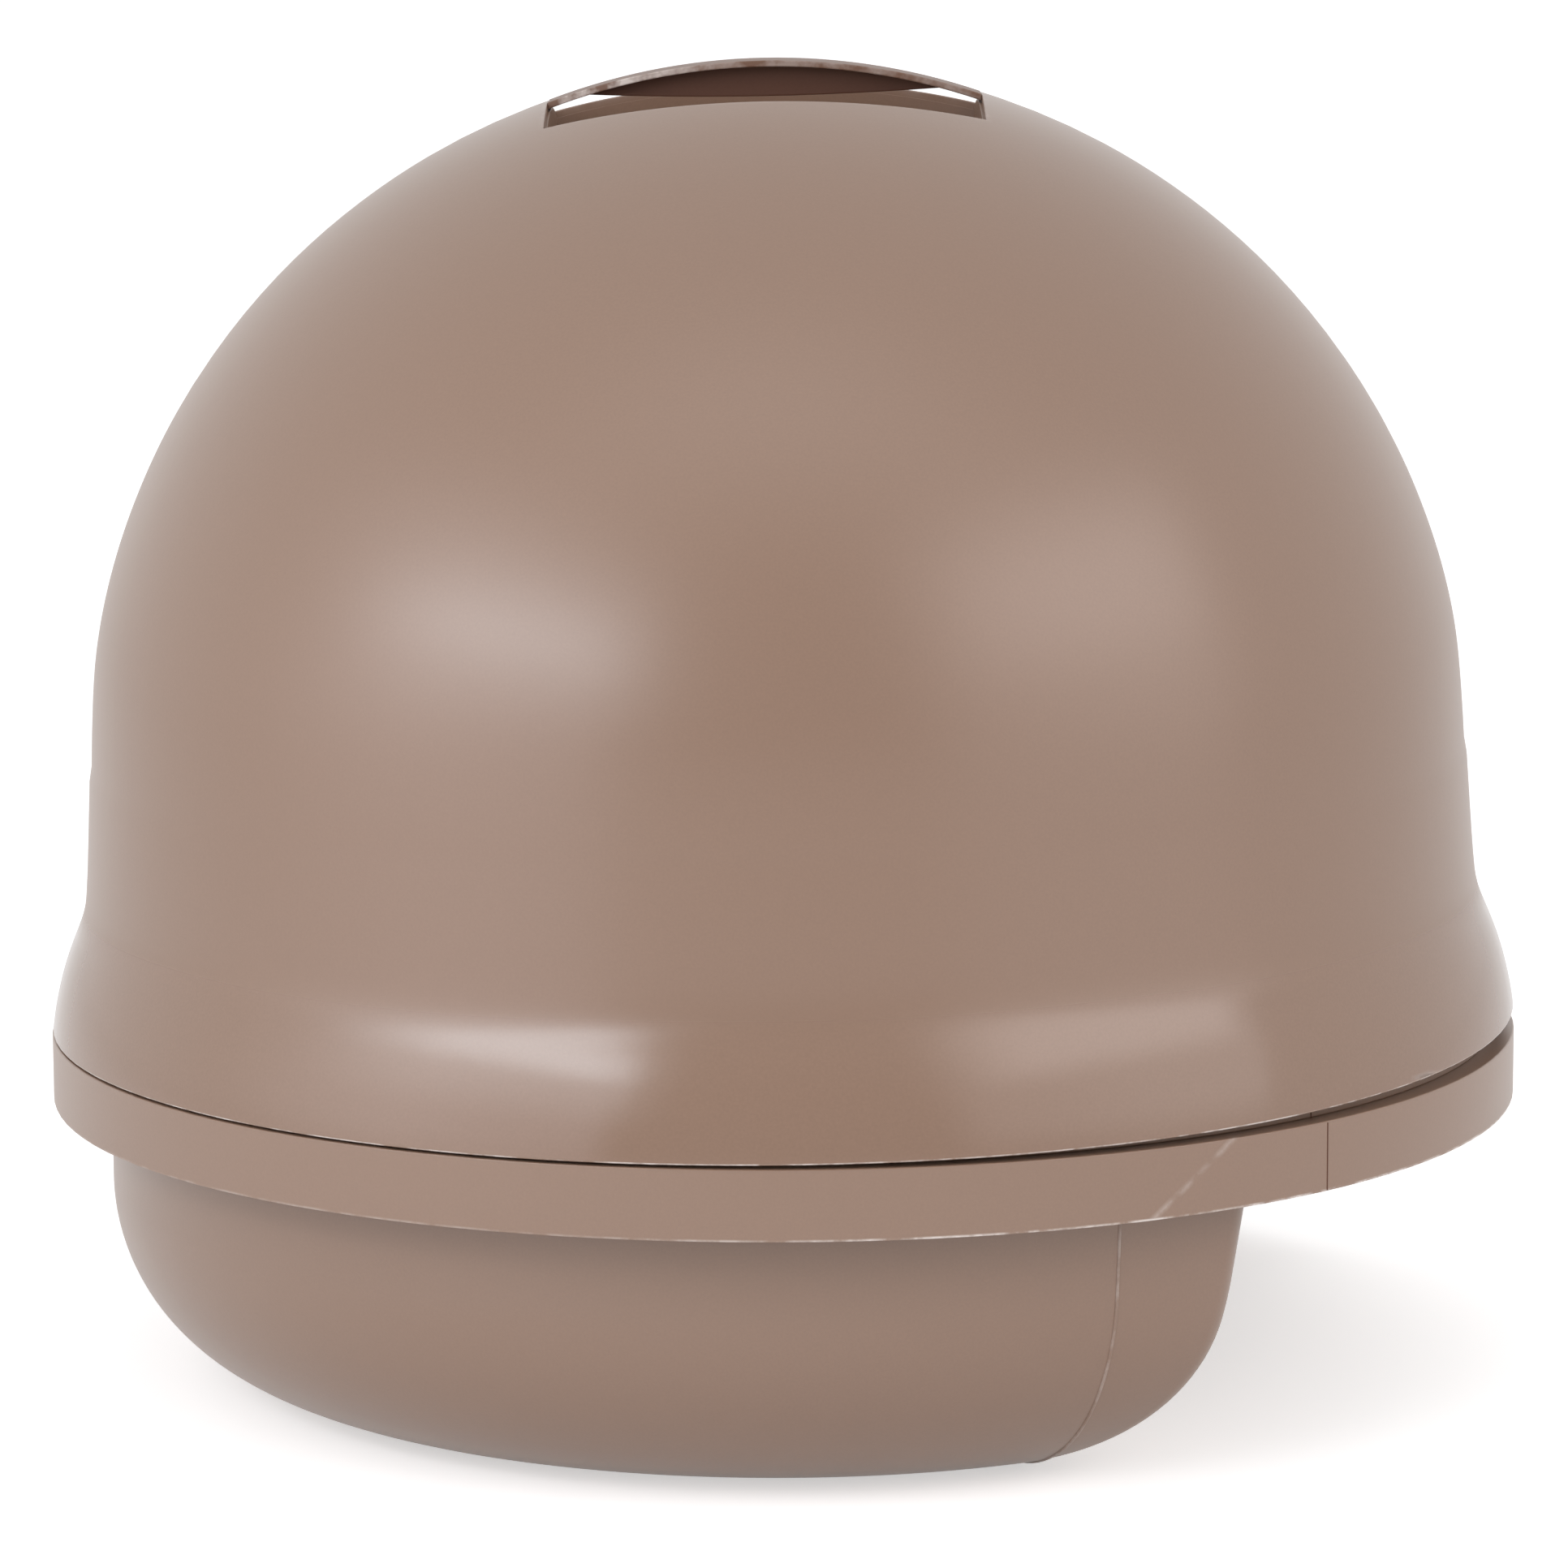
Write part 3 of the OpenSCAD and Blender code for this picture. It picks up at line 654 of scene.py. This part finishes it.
# Height of the point that the lamps are aimed at, and how far below the pan the floor is
AIM_Z, FLOOR_DROP, FLOOR_SIZE = 0.25, 0.0003, 60
# Light from the world: on matt surfaces, and in reflections of its closed and open ends
SKY_DIFFUSE, SKY_CLOSED, SKY_OPEN = 0.7, 1.0, 0.5


def camera():
    """Camera at the photograph's viewing angle."""
    data = bpy.data.cameras.new("camera")
    data.lens, data.sensor_width = CAMERA_LENS, SENSOR
    data.clip_start, data.clip_end = 0.01, 100
    obj = bpy.data.objects.new("camera", data)
    bpy.context.scene.collection.objects.link(obj)
    obj.matrix_world = (
        Matrix.Translation(CAMERA_PLACE) @ Matrix.Rotation(math.pi, 4, "Z")
        @ Matrix.Rotation(math.pi / 2 - CAMERA_PITCH, 4, "X")
        @ Matrix.Rotation(CAMERA_ROLL, 4, "Z")
    )
    bpy.context.scene.camera = obj


def softbox(name, azimuth, height, size, radiance, tint, fade=(0.3, 0.3, 0.3), far=1.6):
    """Rectangular lamp at azimuth and height, in degrees, far from the point it is aimed at.

    size is its width and height in degrees, seen from there. fade is the share of it that falls
    off at its low-azimuth edge, its high-azimuth edge, and each of its level edges.
    """
    wide, tall = (2 * far * math.tan(math.radians(angle) / 2) for angle in size)
    data = bpy.data.lights.new(name, "AREA")
    data.shape, data.size, data.size_y = "RECTANGLE", wide, tall
    data.energy = radiance * math.pi * wide * tall
    data.color = tint
    data.use_nodes = True
    tree = data.node_tree
    place = tree.nodes.new("ShaderNodeNewGeometry").outputs["Parametric"]
    split = tree.nodes.new("ShaderNodeSeparateXYZ")
    tree.links.new(place, split.inputs[0])
    falls = (("X", 0, fade[0]), ("X", 1, 1 - fade[1]), ("Y", 0, fade[2]), ("Y", 1, 1 - fade[2]))
    level = None
    for axis, low, high in falls:
        edge = tree.nodes.new("ShaderNodeMapRange")
        edge.interpolation_type = "SMOOTHSTEP"
        edge.inputs["From Min"].default_value = low
        edge.inputs["From Max"].default_value = high
        tree.links.new(split.outputs[axis], edge.inputs["Value"])
        if level is None:
            level = edge.outputs["Result"]
        else:
            both = tree.nodes.new("ShaderNodeMath")
            both.operation = "MULTIPLY"
            tree.links.new(level, both.inputs[0])
            tree.links.new(edge.outputs["Result"], both.inputs[1])
            level = both.outputs[0]
    tree.links.new(level, tree.nodes["Emission"].inputs["Strength"])
    towards = polar(math.radians(azimuth), math.cos(math.radians(height)))
    towards.z = math.sin(math.radians(height))
    obj = bpy.data.objects.new(name, data)
    obj.location = Vector((0, 0, AIM_Z)) + towards * far
    obj.rotation_mode = "QUATERNION"
    obj.rotation_quaternion = towards.to_track_quat("Z", "Y")
    bpy.context.scene.collection.objects.link(obj)


def world():
    """Even pale light; reflections see it white, and dimmer in the studio's open end, towards +Y."""
    made = bpy.data.worlds.new("studio")
    made.use_nodes = True
    tree = made.node_tree
    back = tree.nodes["Background"]
    back.inputs["Color"].default_value = (1, 1, 1, 1)
    split = tree.nodes.new("ShaderNodeSeparateXYZ")
    tree.links.new(tree.nodes.new("ShaderNodeTexCoord").outputs["Generated"], split.inputs[0])
    open_end = tree.nodes.new("ShaderNodeMapRange")
    open_end.interpolation_type = "SMOOTHSTEP"
    ends = (("From Min", 0.4), ("From Max", 0.95), ("To Min", SKY_CLOSED), ("To Max", SKY_OPEN))
    for socket, value in ends:
        open_end.inputs[socket].default_value = value
    tree.links.new(split.outputs["Y"], open_end.inputs["Value"])
    path = tree.nodes.new("ShaderNodeLightPath")
    lit = tree.nodes.new("ShaderNodeMix")
    lit.inputs["A"].default_value = SKY_DIFFUSE
    tree.links.new(path.outputs["Is Glossy Ray"], lit.inputs["Factor"])
    tree.links.new(open_end.outputs["Result"], lit.inputs["B"])
    seen = tree.nodes.new("ShaderNodeMix")
    seen.inputs["B"].default_value = 1.0
    tree.links.new(path.outputs["Is Camera Ray"], seen.inputs["Factor"])
    tree.links.new(lit.outputs["Result"], seen.inputs["A"])
    tree.links.new(seen.outputs["Result"], back.inputs["Strength"])
    bpy.context.scene.world = made


def floor():
    """Plain floor, just under the part."""
    bpy.ops.mesh.primitive_plane_add(size=FLOOR_SIZE, location=(0, 0, -FLOOR_DROP))
    obj = bpy.context.object
    obj.name = "floor"
    obj.data.materials.append(floor_material())


# ---- Dressing the CAD nodes ----------------------------------------------------------------

def soften(node, material):
    """A CAD node keeps its shape and gets its finish, with its edges slightly rounded."""
    obj = nodes[node]
    for slot in obj.material_slots:
        slot.material = material
    weld = obj.modifiers.new("weld", "WELD")
    weld.merge_threshold = WELD_GAP
    bevel = obj.modifiers.new("round", "BEVEL")
    bevel.width, bevel.segments = SOFT_EDGE, 2
    bevel.limit_method, bevel.angle_limit = "ANGLE", SOFT_ANGLE
    bevel.harden_normals = False
    obj.modifiers.new("normals", "WEIGHTED_NORMAL").keep_sharp = True


# ---- The scene -----------------------------------------------------------------------------

camera()
world()
floor()
# Lamps: name, azimuth, height, size, radiance, tint, fade and distance. The key lights one side of
# the dome and the fill the other; their cores and the strip make the small bright highlights
softbox("key", 31, 16, (72, 60), 0.95, (0.95, 0.93, 1.0), (0.6, 0.08, 0.3))
softbox("key_core", 42, 20, (62, 36), 1.0, (0.9, 0.96, 1.0), (0.5, 0.15, 0.4), 1.25)
softbox("key_strip", 43, 22, (54, 12), 3.2, (0.88, 0.95, 1.0), (0.5, 0.2, 0.4), 1.25)
softbox("overhead", 90, 60, (80, 50), 0.45, (1.0, 1.0, 1.0), (0.5, 0.5, 0.5))
softbox("fill", 138, 20, (56, 54), 0.75, (1.0, 0.93, 0.92), (0.2, 0.06, 0.25))
softbox("fill_core", 139, 27, (48, 26), 1.2, (1.0, 0.92, 0.9), (0.3, 0.1, 0.3))

SHELL = pearl_plastic("pearl_shell", srgb(139, 111, 93))
RIM = pearl_plastic("pearl_rim", srgb(141, 113, 95), 0.3, 0.3, 0.8, skirt_flash)
GRIP = pearl_plastic("pearl_grip", srgb(116, 84, 66), 0.42, 0.42, 0.4, grip_flash)
# Darker plastic as painted shade: on the handle's web it stands for the shade under the strip, and
# on the skirt and lip lines for the shade in a groove
PAINTED_SHADE = pearl_plastic("pearl_painted_shade", srgb(98, 66, 52), 0.5, 0.5, 0.3)
TRAY = pearl_plastic("pearl_tray", srgb(136, 107, 89), 0.42)
CARBON = carbon_fleece("carbon_fleece")

# Pieces made here: the object, its body, its material slot, and the CAD nodes that it stands for
made = [
    (hood(SHELL), "hood", "shell", ["hood_shell"]),
    (pan(SHELL), "base", "shell", ["litter_pan"]),
]
for side, name in ((-1, "pan_seam_left"), (1, "pan_seam_right")):
    seam = bowl_meridian(CUT_AZ + side * SEAM_TURN, side * SEAM_DRIFT)
    made.append((bead(name, seam, SEAM_W, SEAM_H, SHELL, SEAM_WEAR), "base", "shell", []))
# The skirt and lip lines are raised beads drawn in the dark web plastic, as painted shade of a
# groove
for name, radius, high, low in (
    ("skirt_line", RIM_R, RIM_Z - LINE_TOP_GAP, SKIRT_Z + LINE_FOOT_GAP),
    ("lip_line", LIP_R, RIM_Z + LIP_H - LINE_TOP_GAP, RIM_Z),
):
    line = upright(PARTING_AZ, radius, high, low)
    made.append((bead(name, line, LINE_W, LINE_H, PAINTED_SHADE), "base", "shell", []))
for piece, body, slot, stood_for in made:
    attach(piece, body)
    if stood_for:
        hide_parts(*stood_for)

# Finish of each CAD node that shows, by material slot, and the three nodes that have their own; the
# handle web's darker finish is painted shade under the strip
FINISH = {"shell": SHELL, "tray": TRAY, "carbon": CARBON}
SPECIAL = {"rim_skirt": RIM, "handle_strip": GRIP, "handle_web": PAINTED_SHADE}
replaced = {name for row in made for name in row[3]}
for subpart in frame["record"]["subparts"]:
    if subpart["node"] not in replaced:
        finish = SPECIAL.get(subpart["node"], FINISH[subpart["material_slot"]])
        soften(subpart["node"], finish)

bpy.context.scene.view_settings.view_transform = "Standard"
